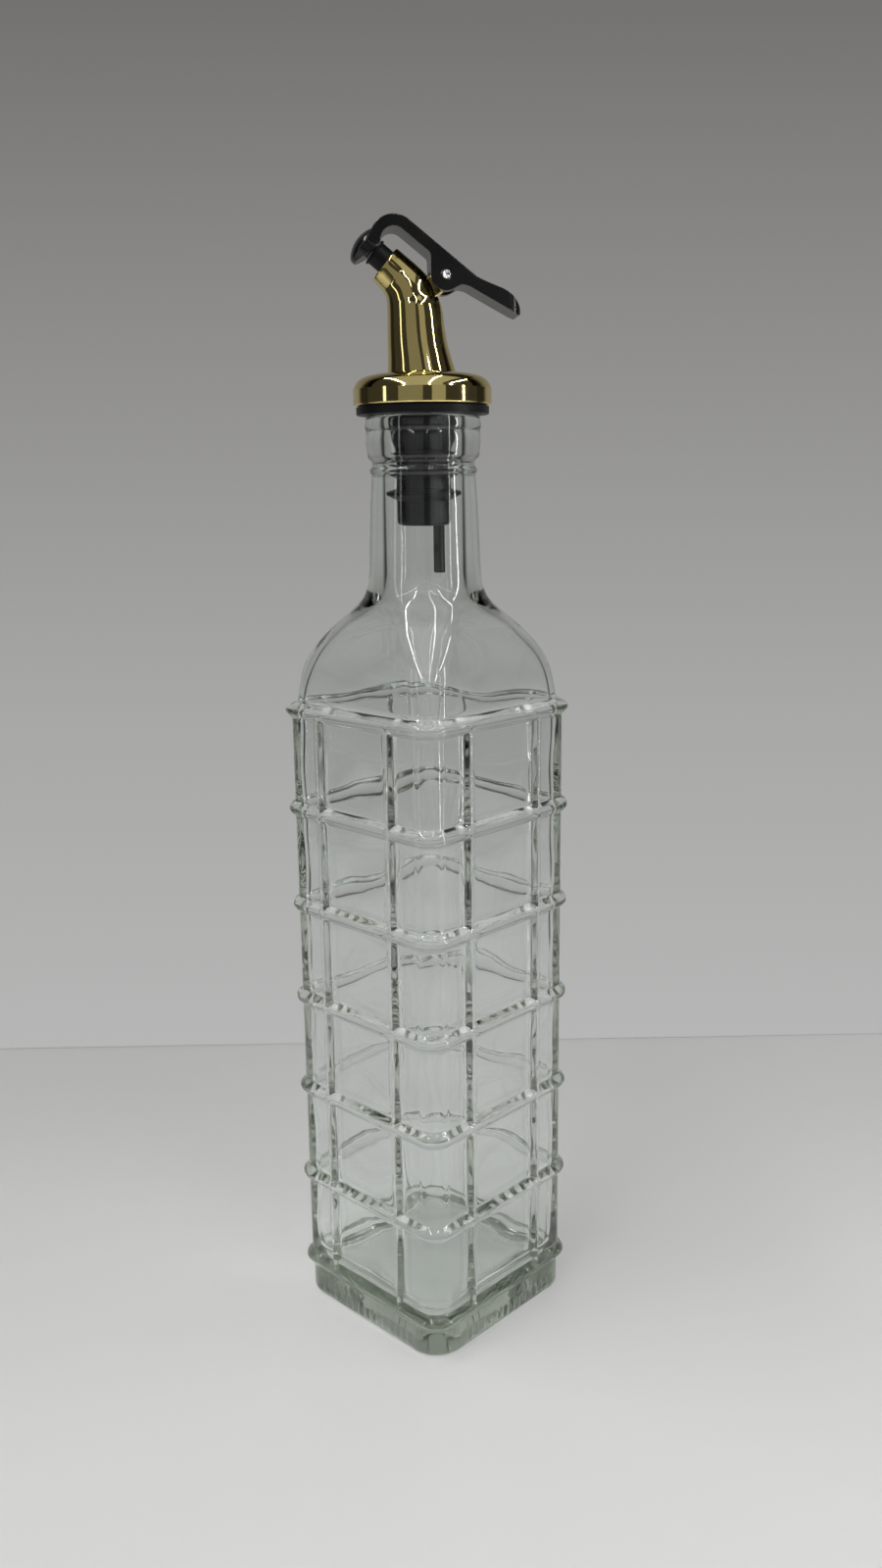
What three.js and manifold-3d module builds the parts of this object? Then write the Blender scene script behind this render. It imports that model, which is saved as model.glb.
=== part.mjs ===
// Square oil bottle of clear glass with an embossed grid, closed by a gold pourer with a flip lever.
// Millimetres, +Z up, origin at the middle of the base, flat sides facing X and Y.
import * as THREE from 'three';
import { mergeVertices } from 'three/addons/utils/BufferGeometryUtils.js';
import Module from 'manifold-3d';

// Bottle body: a rounded square with seven raised rings and two upright ribs on each side
const SIDE = 28.9;
const CORNER = 4.8;
const RING_COUNT = 7;
const RING_FIRST = 10.7;
const RING_PITCH = 29.13;
const RING_HALF = 2.35;
const RING_PROUD = 1.8;
const RIB_AT = 14.05;
const RIB_HALF = 1.35;
const RIB_PROUD = 1.15;

// Foot under the lowest ring
const FOOT_SIDE = 30.0;
const FOOT_CORNER = 9.6;
const FOOT_EDGE = 1.1;

// Neck, lip and inside of the bottle
const NECK_BASE = 220.9;
const NECK_TOP = 253.7;
const LIP_TOP = 266.0;
const LIP_RADIUS = 15.9;
const BORE = 10.8;
const INSIDE = 26.0;
const INSIDE_CORNER = 4.4;
const FLOOR = 8.5;

// Stopper: flange on the lip, soft plug with three fins in the bore, air tube below it
const FLANGE_RADIUS = 18.2;
const FLANGE_LOW = 266.3;
const FLANGE_TOP = 268.4;
const PLUG_LOW = 236.6;
const PLUG_RADIUS = 7.5;
const FINS = [[245.2, 10.4, 1.7, 0.8], [251.9, 9.7, 2.8, 0.5], [256.0, 9.8, 0.7, 0.7]];
const TUBE_AT = 4.1;
const TUBE_RADIUS = 1.6;
const TUBE_LOW = 223.8;

// Gold collar, spout and lug; the pourer stands turned on the bottle
const TURN = -40.3;
const COLLAR_RADIUS = 19.0;
const COLLAR_LOW = 268.7;
const COLLAR_BAND = 273.0;
const COLLAR_TOP = 277.1;
const SPOUT_LEAN = 50.3;
const SPOUT_END = [-9.6, 305.2];
const SPOUT_END_RADIUS = 5.2;
const PIVOT = [6.35, 301.9];
const LUG_SLOPE = 37;
const LUG_HALF = 2.9;
const LUG_WIDTH = 5.4;

// Nozzle, above the middle of the spout's end
const NOZZLE_RADIUS = 3.2;
const NOZZLE_BORE = 2.1;
const NOZZLE_LENGTH = 4.2;
const NOZZLE_SOCKET = 1.2;
const NOZZLE_RISE = 0.65;
const NOZZLE_LIP = 3.6;

// Lever and its pin
const LEVER_WIDTH = 12.2;
const LEVER_EDGE = 0.5;
const TAIL_END = 26.6;
const TAIL_CORNER = 3.6;
const LEVER_OPENS = 35;
const ARCH = [-7.35, 310.3];
const ARCH_OUTER = 6.5;
const ARCH_INNER = 3.5;
const ARM_SLOPE = 38.2;
const CHEEK_RADIUS = 4.1;
const SLOT_GAP = 0.4;
const HOOD_RADIUS = 5.4;
const HOOD_SET = -0.45;
const PIN_RADIUS = 1.2;
const PIN_GAP = 0.3;

const wasm = await Module();
wasm.setup();

const rad = THREE.MathUtils.degToRad;

// Skin over a stack of loops, shut at both ends onto the middle of the first and last loop.
function skin(loops) {
  const count = loops[0].length;
  const points = loops.flat();
  const faces = [];
  const middle = (loop) => loop.reduce((sum, p) => sum.map((v, k) => v + p[k] / count), [0, 0, 0]);
  for (let i = 0; i + 1 < loops.length; i++) {
    for (let j = 0; j < count; j++) {
      const a = i * count + j;
      const b = i * count + (j + 1) % count;
      faces.push(a, b, b + count, a, b + count, a + count);
    }
  }
  const last = (loops.length - 1) * count;
  const low = points.push(middle(loops[0])) - 1;
  const high = points.push(middle(loops[loops.length - 1])) - 1;
  for (let j = 0; j < count; j++) {
    const next = (j + 1) % count;
    faces.push(low, next, j, high, last + j, last + next);
  }
  const geometry = new THREE.BufferGeometry();
  geometry.setAttribute('position', new THREE.Float32BufferAttribute(points.flat(), 3));
  geometry.setIndex(faces);
  return geometry;
}

// Loop around a leaning axis in the X, Z plane: middle, lean from upright towards -X, radius.
function hoop(x, z, lean, radius, count) {
  return Array.from({ length: count }, (_, j) => {
    const angle = 2 * Math.PI * j / count;
    const across = radius * Math.cos(angle);
    return [x + across * Math.cos(rad(lean)), radius * Math.sin(angle), z + across * Math.sin(rad(lean))];
  });
}

// Turned piece about Z from a profile of radius and height.
function turned(profile, count) {
  return skin(profile.map(([radius, z]) => hoop(0, z, 0, radius, count)));
}

// Piece turned about the leaning axis of the spout's end, from a profile of radius and way along it.
function turnedOnSpout(profile, rise, count) {
  return skin(profile.map(([radius, along]) => {
    const [x, z] = onSpout(rise, along);
    return hoop(x, z, SPOUT_LEAN, radius, count);
  }));
}

// Point in the X, Z plane above the middle of the spout's end and along its axis.
function onSpout(rise, along) {
  const c = Math.cos(rad(SPOUT_LEAN));
  const s = Math.sin(rad(SPOUT_LEAN));
  return [SPOUT_END[0] + rise * c - along * s, SPOUT_END[1] + rise * s + along * c];
}

// Plate standing in the X, Z plane, centred on Y, with its edges eased.
function plate(shape, width, edge, segments) {
  const geometry = new THREE.ExtrudeGeometry(shape, {
    depth: width - 2 * edge, curveSegments: segments, bevelEnabled: edge > 0,
    bevelThickness: edge, bevelSize: edge, bevelOffset: -edge, bevelSegments: 2,
  });
  geometry.translate(0, 0, edge - width / 2);
  geometry.rotateX(Math.PI / 2);
  return geometry;
}

function toSolid(geometry) {
  const bare = geometry.clone();
  bare.deleteAttribute('normal');
  bare.deleteAttribute('uv');
  const joined = mergeVertices(bare, 1e-4);
  return new wasm.Manifold(new wasm.Mesh({
    numProp: 3,
    vertProperties: new Float32Array(joined.attributes.position.array),
    triVerts: new Uint32Array(joined.index.array),
  }));
}

function toGeometry(solid) {
  const mesh = solid.getMesh();
  const geometry = new THREE.BufferGeometry();
  geometry.setAttribute('position', new THREE.Float32BufferAttribute(mesh.vertProperties, 3));
  geometry.setIndex(Array.from(mesh.triVerts));
  return geometry;
}

function part(name, geometry, color, roughness, metalness) {
  geometry.computeVertexNormals();
  const mesh = new THREE.Mesh(geometry, new THREE.MeshStandardMaterial({ color, roughness, metalness }));
  mesh.name = name;
  return mesh;
}

// Distance from the axis to a rounded square, along an angle.
function reach(side, corner, angle) {
  const quarter = Math.PI / 2;
  const off = Math.abs(angle - quarter * Math.round(angle / quarter));
  const flat = side / Math.cos(off);
  if (flat * Math.sin(off) <= side - corner) return flat;
  const inset = side - corner;
  const along = inset * (Math.cos(off) + Math.sin(off));
  return along + Math.sqrt(along * along - 2 * inset * inset + corner * corner);
}

// Corner radius that brings a rounded square of the given side to a diagonal.
function cornerFor(side, diagonal) {
  return Math.min(side, (side * Math.SQRT2 - diagonal) / (Math.SQRT2 - 1));
}

// Glass columns: ribs and corners have their own on the body, and the neck spreads them evenly.
const halfFace = [6.2, RIB_AT - RIB_HALF, RIB_AT, RIB_AT + RIB_HALF, SIDE - CORNER]
  .map((across) => Math.atan2(across, SIDE)).concat(rad(42.2));
const face = [...halfFace.map((a) => -a).reverse(), 0, ...halfFace, Math.PI / 4];
const columns = [0, 1, 2, 3].flatMap((k) => face.map((a) => ({ angle: a + k * Math.PI / 2, off: Math.abs(a) })));

function glassLoop({ z, side, corner, lift = 0, ribbed = false }) {
  const even = THREE.MathUtils.smoothstep(z, RING_FIRST + RING_PITCH * 6.1, NECK_BASE);
  const first = columns[0].angle;
  return columns.map((column, j) => {
    const angle = THREE.MathUtils.lerp(column.angle, first + 2 * Math.PI * j / columns.length, even);
    const onRib = ribbed && Math.abs(column.off - halfFace[2]) < 1e-6;
    const proud = onRib ? Math.max(0, RIB_PROUD - lift) / Math.cos(column.off) : 0;
    const r = reach(side + lift, corner + lift, angle) + proud;
    return [r * Math.cos(angle), r * Math.sin(angle), z];
  });
}

function glassRows() {
  const rows = [];
  const round = (z, radius) => rows.push({ z, side: radius, corner: radius });
  const square = (z, side, corner) => rows.push({ z, side, corner });

  // Foot, then each ring as half a bead between its two edges
  square(0, FOOT_SIDE - FOOT_EDGE, FOOT_CORNER - FOOT_EDGE);
  square(FOOT_EDGE * 0.3, FOOT_SIDE - FOOT_EDGE * 0.3, FOOT_CORNER - FOOT_EDGE * 0.3);
  square(FOOT_EDGE, FOOT_SIDE, FOOT_CORNER);
  square(RING_FIRST - RING_HALF, FOOT_SIDE, FOOT_CORNER);
  for (let k = 0; k < RING_COUNT; k++) {
    for (const step of [-2, -1, 0, 1, 2]) {
      if (k === 0 && step === -2) continue;
      const turn = step * Math.PI / 4;
      const blend = k === 0 && step < 0 ? 0.5 : 0;
      const top = k === RING_COUNT - 1 && step === 2;
      rows.push({
        z: RING_FIRST + k * RING_PITCH + RING_HALF * Math.sin(turn),
        side: top ? SIDE - 0.5 : THREE.MathUtils.lerp(SIDE, FOOT_SIDE, blend),
        corner: top ? CORNER + 2.6 : THREE.MathUtils.lerp(CORNER, FOOT_CORNER, blend),
        lift: (1 - blend) * RING_PROUD * Math.cos(turn),
        ribbed: (k > 0 || step > 0) && (k < RING_COUNT - 1 || step < 0),
      });
    }
  }

  // Shoulder: the square draws in and rounds off to the neck
  const shoulder = [
    [192, 27.9, 36.4], [197, 27.2, 35.2], [200.5, 26.3, 33.7], [203.6, 25.0, 31.5], [206, 23.6, 29.4],
    [208.1, 22.2, 27.2], [211, 19.9, 23.8], [213.7, 18.1, 20.7], [216.9, 16.6, 17.6],
  ];
  for (const [z, side, diagonal] of shoulder) square(z, side, cornerFor(side, diagonal));

  // Neck with a small bead, lip band, mouth
  round(NECK_BASE, 16.0);
  round(226.5, 15.6);
  round(242.9, 14.9);
  round(NECK_TOP - 3.2, 14.4);
  round(NECK_TOP - 2.2, 14.9);
  round(NECK_TOP - 1.2, 14.3);
  round(NECK_TOP, 14.2);
  round(NECK_TOP + 1.5, LIP_RADIUS - 0.4);
  round(LIP_TOP - 1.2, LIP_RADIUS);
  round(LIP_TOP - 0.35, LIP_RADIUS - 0.35);
  round(LIP_TOP, LIP_RADIUS - 1.2);
  round(LIP_TOP, BORE + 0.6);
  round(LIP_TOP - 0.6, BORE);

  // Inside, from the bore down to the floor
  round(224, BORE);
  round(218, 12.4);
  square(214, 14.6, 11);
  square(210, 17.8, 8.5);
  square(205.5, 20.9, 7.6);
  square(200, 23.6, 6);
  square(194, 25.2, 5);
  square(187, INSIDE, INSIDE_CORNER);
  square(19, INSIDE, INSIDE_CORNER);
  square(13.5, INSIDE - 0.9, INSIDE_CORNER + 0.6);
  square(10.2, INSIDE - 3, INSIDE_CORNER + 1.2);
  square(FLOOR, INSIDE - 7, INSIDE_CORNER + 1.6);
  return rows;
}

function stopperGeometry() {
  const profile = [[PLUG_RADIUS - 1.2, PLUG_LOW], [PLUG_RADIUS - 0.35, PLUG_LOW + 0.35],
    [PLUG_RADIUS, PLUG_LOW + 1.4]];
  for (const [z, radius, below, above] of FINS) {
    profile.push([PLUG_RADIUS, z - below - 0.3], [radius, z - 0.3], [radius, z + 0.3],
      [PLUG_RADIUS + 0.1, z + above + 0.3]);
  }
  profile.push([PLUG_RADIUS + 0.3, 258], [9.7, 261.4], [9.4, FLANGE_LOW], [FLANGE_RADIUS - 0.3, FLANGE_LOW],
    [FLANGE_RADIUS, FLANGE_LOW + 0.4], [FLANGE_RADIUS, FLANGE_TOP]);
  const plug = toSolid(turned(profile, 28));
  const tube = turned([[TUBE_RADIUS, TUBE_LOW], [TUBE_RADIUS, PLUG_LOW + 2]], 14);
  return toGeometry(plug.add(toSolid(tube.translate(TUBE_AT, 0, 0))));
}

// Lug outline from inside the spout up to its round end on the pivot, grown by a gap.
function lugShape(gap, slope, length) {
  const half = LUG_HALF + gap;
  const dx = Math.cos(rad(slope));
  const dz = Math.sin(rad(slope));
  const shape = new THREE.Shape();
  shape.moveTo(PIVOT[0] - length * dx - half * dz, PIVOT[1] - length * dz + half * dx);
  shape.lineTo(PIVOT[0] - length * dx + half * dz, PIVOT[1] - length * dz - half * dx);
  shape.lineTo(PIVOT[0] + half * dz, PIVOT[1] - half * dx);
  shape.absarc(PIVOT[0], PIVOT[1], half, rad(slope - 90), rad(slope + 90), false);
  shape.closePath();
  return shape;
}

// Round bar along Y through the pivot.
function pivotBar(radius, width, dish) {
  const half = width / 2;
  const profile = [[radius - 0.75, -half + dish], [radius - 0.35, -half], [radius, -half + 0.3],
    [radius, half - 0.3], [radius - 0.35, half], [radius - 0.75, half - dish]];
  return turned(profile, 18).rotateX(-Math.PI / 2).translate(PIVOT[0], 0, PIVOT[1]);
}

function spoutGeometry() {
  const collar = toSolid(turned([
    [COLLAR_RADIUS - 0.5, COLLAR_LOW], [COLLAR_RADIUS, COLLAR_LOW + 0.5], [COLLAR_RADIUS, COLLAR_BAND],
    [COLLAR_RADIUS - 0.35, COLLAR_BAND + 1], [COLLAR_RADIUS - 1.1, COLLAR_BAND + 2.1],
    [COLLAR_RADIUS - 2.3, COLLAR_BAND + 3], [COLLAR_RADIUS - 4.6, COLLAR_BAND + 3.75],
    [COLLAR_RADIUS - 7.5, COLLAR_TOP - 0.05], [9, COLLAR_TOP],
  ], 40));

  // Stations up the spout: middle, height, lean, radius
  const end = SPOUT_END_RADIUS;
  const stations = [
    [-0.05, COLLAR_TOP - 1.5, 0, 9.45], [-0.1, COLLAR_TOP + 0.3, 0, 9.35], [-0.55, 281, 0, 8.7], [-1.05, 284.5, 0, 8.2],
    [-1.4, 288.5, 0, 7.8], [-1.6, 292.4, 1, 7.55], [-2.55, 296.4, 12, 6.75], [-3.7, 299.3, 25, 6.2],
    [-5.55, 301.5, 38, 5.65], [-7.75, 303.55, SPOUT_LEAN - 1, end + 0.1],
    [...onSpout(0, -0.5), SPOUT_LEAN, end], [...onSpout(0, -0.12), SPOUT_LEAN, end - 0.12],
    [...onSpout(0, 0), SPOUT_LEAN, end - 0.5],
  ];
  const spout = toSolid(skin(stations.map((station) => hoop(...station, 28))));
  const lug = toSolid(plate(lugShape(0, LUG_SLOPE, 10), LUG_WIDTH, 0.7, 7));
  const reachIn = NOZZLE_RADIUS + 0.3;
  const socket = toSolid(turnedOnSpout([[reachIn, -NOZZLE_SOCKET], [reachIn, 3]], NOZZLE_RISE, 24));
  const hole = toSolid(pivotBar(PIN_RADIUS + PIN_GAP, 2 * LUG_WIDTH, 0));
  return toGeometry(collar.add(spout).add(lug).subtract(socket).subtract(hole));
}

function nozzleGeometry() {
  const start = 0.3 - NOZZLE_SOCKET;
  const tip = NOZZLE_LENGTH;
  return turnedOnSpout([
    [NOZZLE_RADIUS, start], [NOZZLE_RADIUS, tip - 0.8], [NOZZLE_LIP, tip - 0.5], [NOZZLE_LIP, tip - 0.1],
    [NOZZLE_LIP - 0.3, tip], [NOZZLE_BORE + 0.2, tip], [NOZZLE_BORE, tip - 0.2], [NOZZLE_BORE, start + 0.8],
  ], NOZZLE_RISE, 24);
}

function leverShape() {
  const dx = Math.cos(rad(ARM_SLOPE));
  const dz = Math.sin(rad(ARM_SLOPE));
  const along = (radius, way) => [ARCH[0] + radius * dz + way * dx, ARCH[1] + radius * dx - way * dz];
  const cheekSide = PIVOT[0] - CHEEK_RADIUS;
  const shape = new THREE.Shape();

  // Over the arch, down the arm, round the thumb tail
  shape.absarc(ARCH[0], ARCH[1], ARCH_OUTER, rad(155), rad(90 - ARM_SLOPE), true);
  shape.lineTo(...along(ARCH_OUTER, 22.6));
  shape.quadraticCurveTo(16, 300.5, 21.4, 298.5);
  shape.quadraticCurveTo(24.7, 297, 26.2, 293.8);
  shape.quadraticCurveTo(27, 292, 25.8, 291.7);
  shape.lineTo(13.6, 298.3);
  shape.quadraticCurveTo(12.2, 299.3, 10.3, 299.3);

  // Round the cheeks, up to the arm and back under the arch to the hood
  shape.absarc(PIVOT[0], PIVOT[1], CHEEK_RADIUS, rad(-60), rad(-180), true);
  shape.lineTo(cheekSide, PIVOT[1] + 4.4);
  shape.quadraticCurveTo(cheekSide, PIVOT[1] + 5.3, ...along(ARCH_INNER, 8.8));
  shape.absarc(ARCH[0], ARCH[1], ARCH_INNER, rad(90 - ARM_SLOPE), rad(184), false);
  shape.lineTo(-12.2, 308.9);
  shape.lineTo(-14.6, 310.2);
  shape.closePath();
  return shape;
}

// Block as wide as the lever, seen from above, with its corners rounded at the thumb end.
function tailPlan() {
  const half = LEVER_WIDTH / 2 + 0.01;
  const corner = TAIL_END - TAIL_CORNER;
  const shape = new THREE.Shape();
  shape.moveTo(-half * 5, -half);
  shape.lineTo(corner, -half);
  shape.absarc(corner, TAIL_CORNER - half, TAIL_CORNER, rad(-90), 0, false);
  shape.absarc(corner, half - TAIL_CORNER, TAIL_CORNER, 0, rad(90), false);
  shape.lineTo(-half * 5, half);
  shape.closePath();
  const geometry = new THREE.ExtrudeGeometry(shape, { depth: 60, bevelEnabled: false, curveSegments: 6 });
  return geometry.translate(0, 0, PIVOT[1] - 30);
}

// Hood over the nozzle: a low dome whose rim runs slanting, so that it lifts clear.
function hoodGeometry() {
  const tip = NOZZLE_LENGTH;
  const count = 26;
  const stretch = LEVER_WIDTH / 2 / HOOD_RADIUS;
  const rim = (across) => (across < 1.8 ? -0.345 * across : Math.min(1.1, -0.62 + 1.4 * (across - 1.8)));
  const dome = [[1, null], [1, 2.9], [0.95, 3.45], [0.83, 4.0], [0.65, 4.55], [0.41, 5.0], [0.16, 5.25]];
  return skin(dome.map(([share, height]) => Array.from({ length: count }, (_, j) => {
    const angle = 2 * Math.PI * j / count;
    const across = HOOD_SET + share * HOOD_RADIUS * Math.cos(angle);
    const [x, z] = onSpout(NOZZLE_RISE + across, tip + (height ?? rim(across)));
    return [x, share * stretch * HOOD_RADIUS * Math.sin(angle), z];
  })));
}

function leverGeometry() {
  const tip = NOZZLE_LENGTH;
  const slotWidth = LUG_WIDTH + 2 * SLOT_GAP;
  const plug = turnedOnSpout([[2.4, tip + 0.35], [2.6, tip + 0.6], [2.6, tip + 3]], NOZZLE_RISE, 20);
  const pocket = turnedOnSpout([[NOZZLE_LIP + 0.5, tip - 4], [NOZZLE_LIP + 0.5, tip + 0.35]], NOZZLE_RISE, 24);
  let lever = toSolid(plate(leverShape(), LEVER_WIDTH, LEVER_EDGE, 5)).intersect(toSolid(tailPlan()));
  lever = lever.add(toSolid(hoodGeometry())).add(toSolid(plug)).subtract(toSolid(pocket));
  for (let step = 0; step <= 2; step++) {
    const slope = LUG_SLOPE + step * (LEVER_OPENS + 3) / 2;
    lever = lever.subtract(toSolid(plate(lugShape(SLOT_GAP, slope, 14), slotWidth, 0, 6)));
  }
  return toGeometry(lever.subtract(toSolid(pivotBar(PIN_RADIUS + PIN_GAP, 2 * LEVER_WIDTH, 0))));
}

const group = new THREE.Group();
group.name = 'oil_bottle';
group.add(part('glass_bottle', skin(glassRows().map(glassLoop)), 0xdde6e2, 0.05, 0));

const pourer = new THREE.Group();
pourer.name = 'pourer';
pourer.rotation.z = rad(TURN);
pourer.add(part('stopper', stopperGeometry(), 0x1d1e1f, 0.55, 0));
pourer.add(part('spout', spoutGeometry(), 0xcdb26a, 0.12, 1));
pourer.add(part('nozzle', nozzleGeometry(), 0x222120, 0.4, 0));
pourer.add(part('lever', leverGeometry(), 0x17171a, 0.25, 0));
pourer.add(part('pivot_pin', pivotBar(PIN_RADIUS, LEVER_WIDTH + 0.3, 0.3), 0xc9cacb, 0.2, 1));
group.add(pourer);

export default group;
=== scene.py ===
"""Looks of a square oil bottle in clear glass with an embossed grid and a gold flip-lever pourer.

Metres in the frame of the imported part: +Z up, origin at the middle of the base.
Sizes are written in millimetres and scaled when a mesh is made.
"""

import math

import bpy
import numpy as np
from mathutils import Matrix, Vector


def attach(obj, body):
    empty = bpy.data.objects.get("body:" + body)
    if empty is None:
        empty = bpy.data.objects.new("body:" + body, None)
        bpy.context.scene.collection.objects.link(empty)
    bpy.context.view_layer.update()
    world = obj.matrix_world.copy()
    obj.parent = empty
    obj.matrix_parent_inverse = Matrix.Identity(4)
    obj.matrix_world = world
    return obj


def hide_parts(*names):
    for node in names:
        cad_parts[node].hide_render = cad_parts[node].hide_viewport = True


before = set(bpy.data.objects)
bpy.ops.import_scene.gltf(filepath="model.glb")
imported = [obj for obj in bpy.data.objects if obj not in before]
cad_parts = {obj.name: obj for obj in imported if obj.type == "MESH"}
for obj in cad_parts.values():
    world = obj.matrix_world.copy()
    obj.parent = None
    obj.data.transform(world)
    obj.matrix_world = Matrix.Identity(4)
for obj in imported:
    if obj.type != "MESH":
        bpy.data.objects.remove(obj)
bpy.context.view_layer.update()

# Glass bottle
# Clear soda-lime glass, blown in a two-part mould, with thick walls and a heavy foot.
# Seven raised rings and two upright ribs on each side make the grid, rounded where they meet.
MM = 0.001
SIDE = 28.9
CORNER = 4.8
RING_COUNT = 7
RING_FIRST = 10.7
RING_PITCH = 29.13
RING_HALF = 2.35
RING_PROUD = 1.8
RIB_AT = 14.05
RIB_HALF = 1.75
RIB_PROUD = 1.7
FOOT_SIDE = 30.0
FOOT_CORNER = 9.6
FOOT_EDGE = 1.1
NECK_BASE = 220.9
INSIDE = 26.0
INSIDE_CORNER = 4.4
BORE = 10.8
RIPPLE = 0.16
RIPPLE_LENGTH = 21.0
COLUMN = 0.85
FILLET = 0.8
SPEAR = 9.0
TOP_DRAW = 0.5
TOP_ROUNDING = 2.6
RIDGE_PITCH = 3 * COLUMN * FOOT_SIDE / SIDE
RIDGE_PROUD = 0.6
RIDGE_MIDDLE = 2.9
RIDGE_HALF = 1.9
BORE_TOP = 262
INSIDE_NECK = 224
INSIDE_SHOULDER = 187
INSIDE_FLOOR = 19
SPREAD_FROM = RING_FIRST + 6.1 * RING_PITCH


def linear(code):
    """Linear colour of an sRGB hex code."""
    shares = [int(code[k : k + 2], 16) / 255 for k in (1, 3, 5)]
    return [s / 12.92 if s <= 0.04045 else ((s + 0.055) / 1.055) ** 2.4 for s in shares] + [1.0]


def add_node(tree, kind, inputs=None, **settings):
    """Node with its settings; each input is a value, or the socket that feeds it."""
    node = tree.nodes.new(kind)
    for name, value in settings.items():
        setattr(node, name, value)
    for key, value in (inputs or {}).items():
        if isinstance(value, bpy.types.NodeSocket):
            tree.links.new(value, node.inputs[key])
        else:
            node.inputs[key].default_value = value
    return node


def new_material(name):
    """Empty material with its node tree and output node."""
    material = bpy.data.materials.new(name)
    material.use_nodes = True
    material.node_tree.nodes.clear()
    return material, material.node_tree, add_node(material.node_tree, "ShaderNodeOutputMaterial")


def eased(stations, steps):
    """Smooth curve through the stations, with that many steps from each to the next."""
    stations = np.array(stations, float)
    knots = np.append(0, np.cumsum(np.linalg.norm(np.diff(stations, axis=0), axis=1)))
    slopes = np.gradient(stations, knots, axis=0)
    rows = []
    for k, gap in enumerate(np.diff(knots)):
        for t in np.arange(steps) / steps:
            rows.append(
                (1 + 2 * t) * (1 - t) ** 2 * stations[k]
                + t * t * (3 - 2 * t) * stations[k + 1]
                + gap * t * (1 - t) ** 2 * slopes[k]
                + gap * t * t * (t - 1) * slopes[k + 1]
            )
    return np.array([*rows, stations[-1]])


def skin(loops):
    """Points and faces of a closed skin over a stack of loops, its ends drawn in to their middles."""
    count = len(loops[0])
    points = np.vstack([*loops, [np.mean(loops[0], axis=0)], [np.mean(loops[-1], axis=0)]])
    last = (len(loops) - 1) * count
    pairs = [(j, (j + 1) % count) for j in range(count)]
    faces = [
        (row + a, row + b, row + count + b, row + count + a)
        for row in range(0, last, count)
        for a, b in pairs
    ]
    faces += [(last + count, b, a) for a, b in pairs]
    faces += [(last + count + 1, last + a, last + b) for a, b in pairs]
    return points, faces


def new_piece(name, points, faces, material):
    """Smooth-shaded object from points in millimetres."""
    mesh = bpy.data.meshes.new(name)
    mesh.from_pydata((np.array(points) * MM).tolist(), [], faces)
    mesh.polygons.foreach_set("use_smooth", [True] * len(mesh.polygons))
    mesh.materials.append(material)
    piece = bpy.data.objects.new(name, mesh)
    bpy.context.scene.collection.objects.link(piece)
    return piece


def settle(piece):
    """Turn the piece's modifiers into plain mesh."""
    graph = bpy.context.evaluated_depsgraph_get()
    mesh = bpy.data.meshes.new_from_object(piece.evaluated_get(graph))
    piece.modifiers.clear()
    piece.data = mesh


def corner_for(side, diagonal):
    """Corner radius that brings a rounded square of that side to a diagonal."""
    return min(side, (side * math.sqrt(2) - diagonal) / (math.sqrt(2) - 1))


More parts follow.
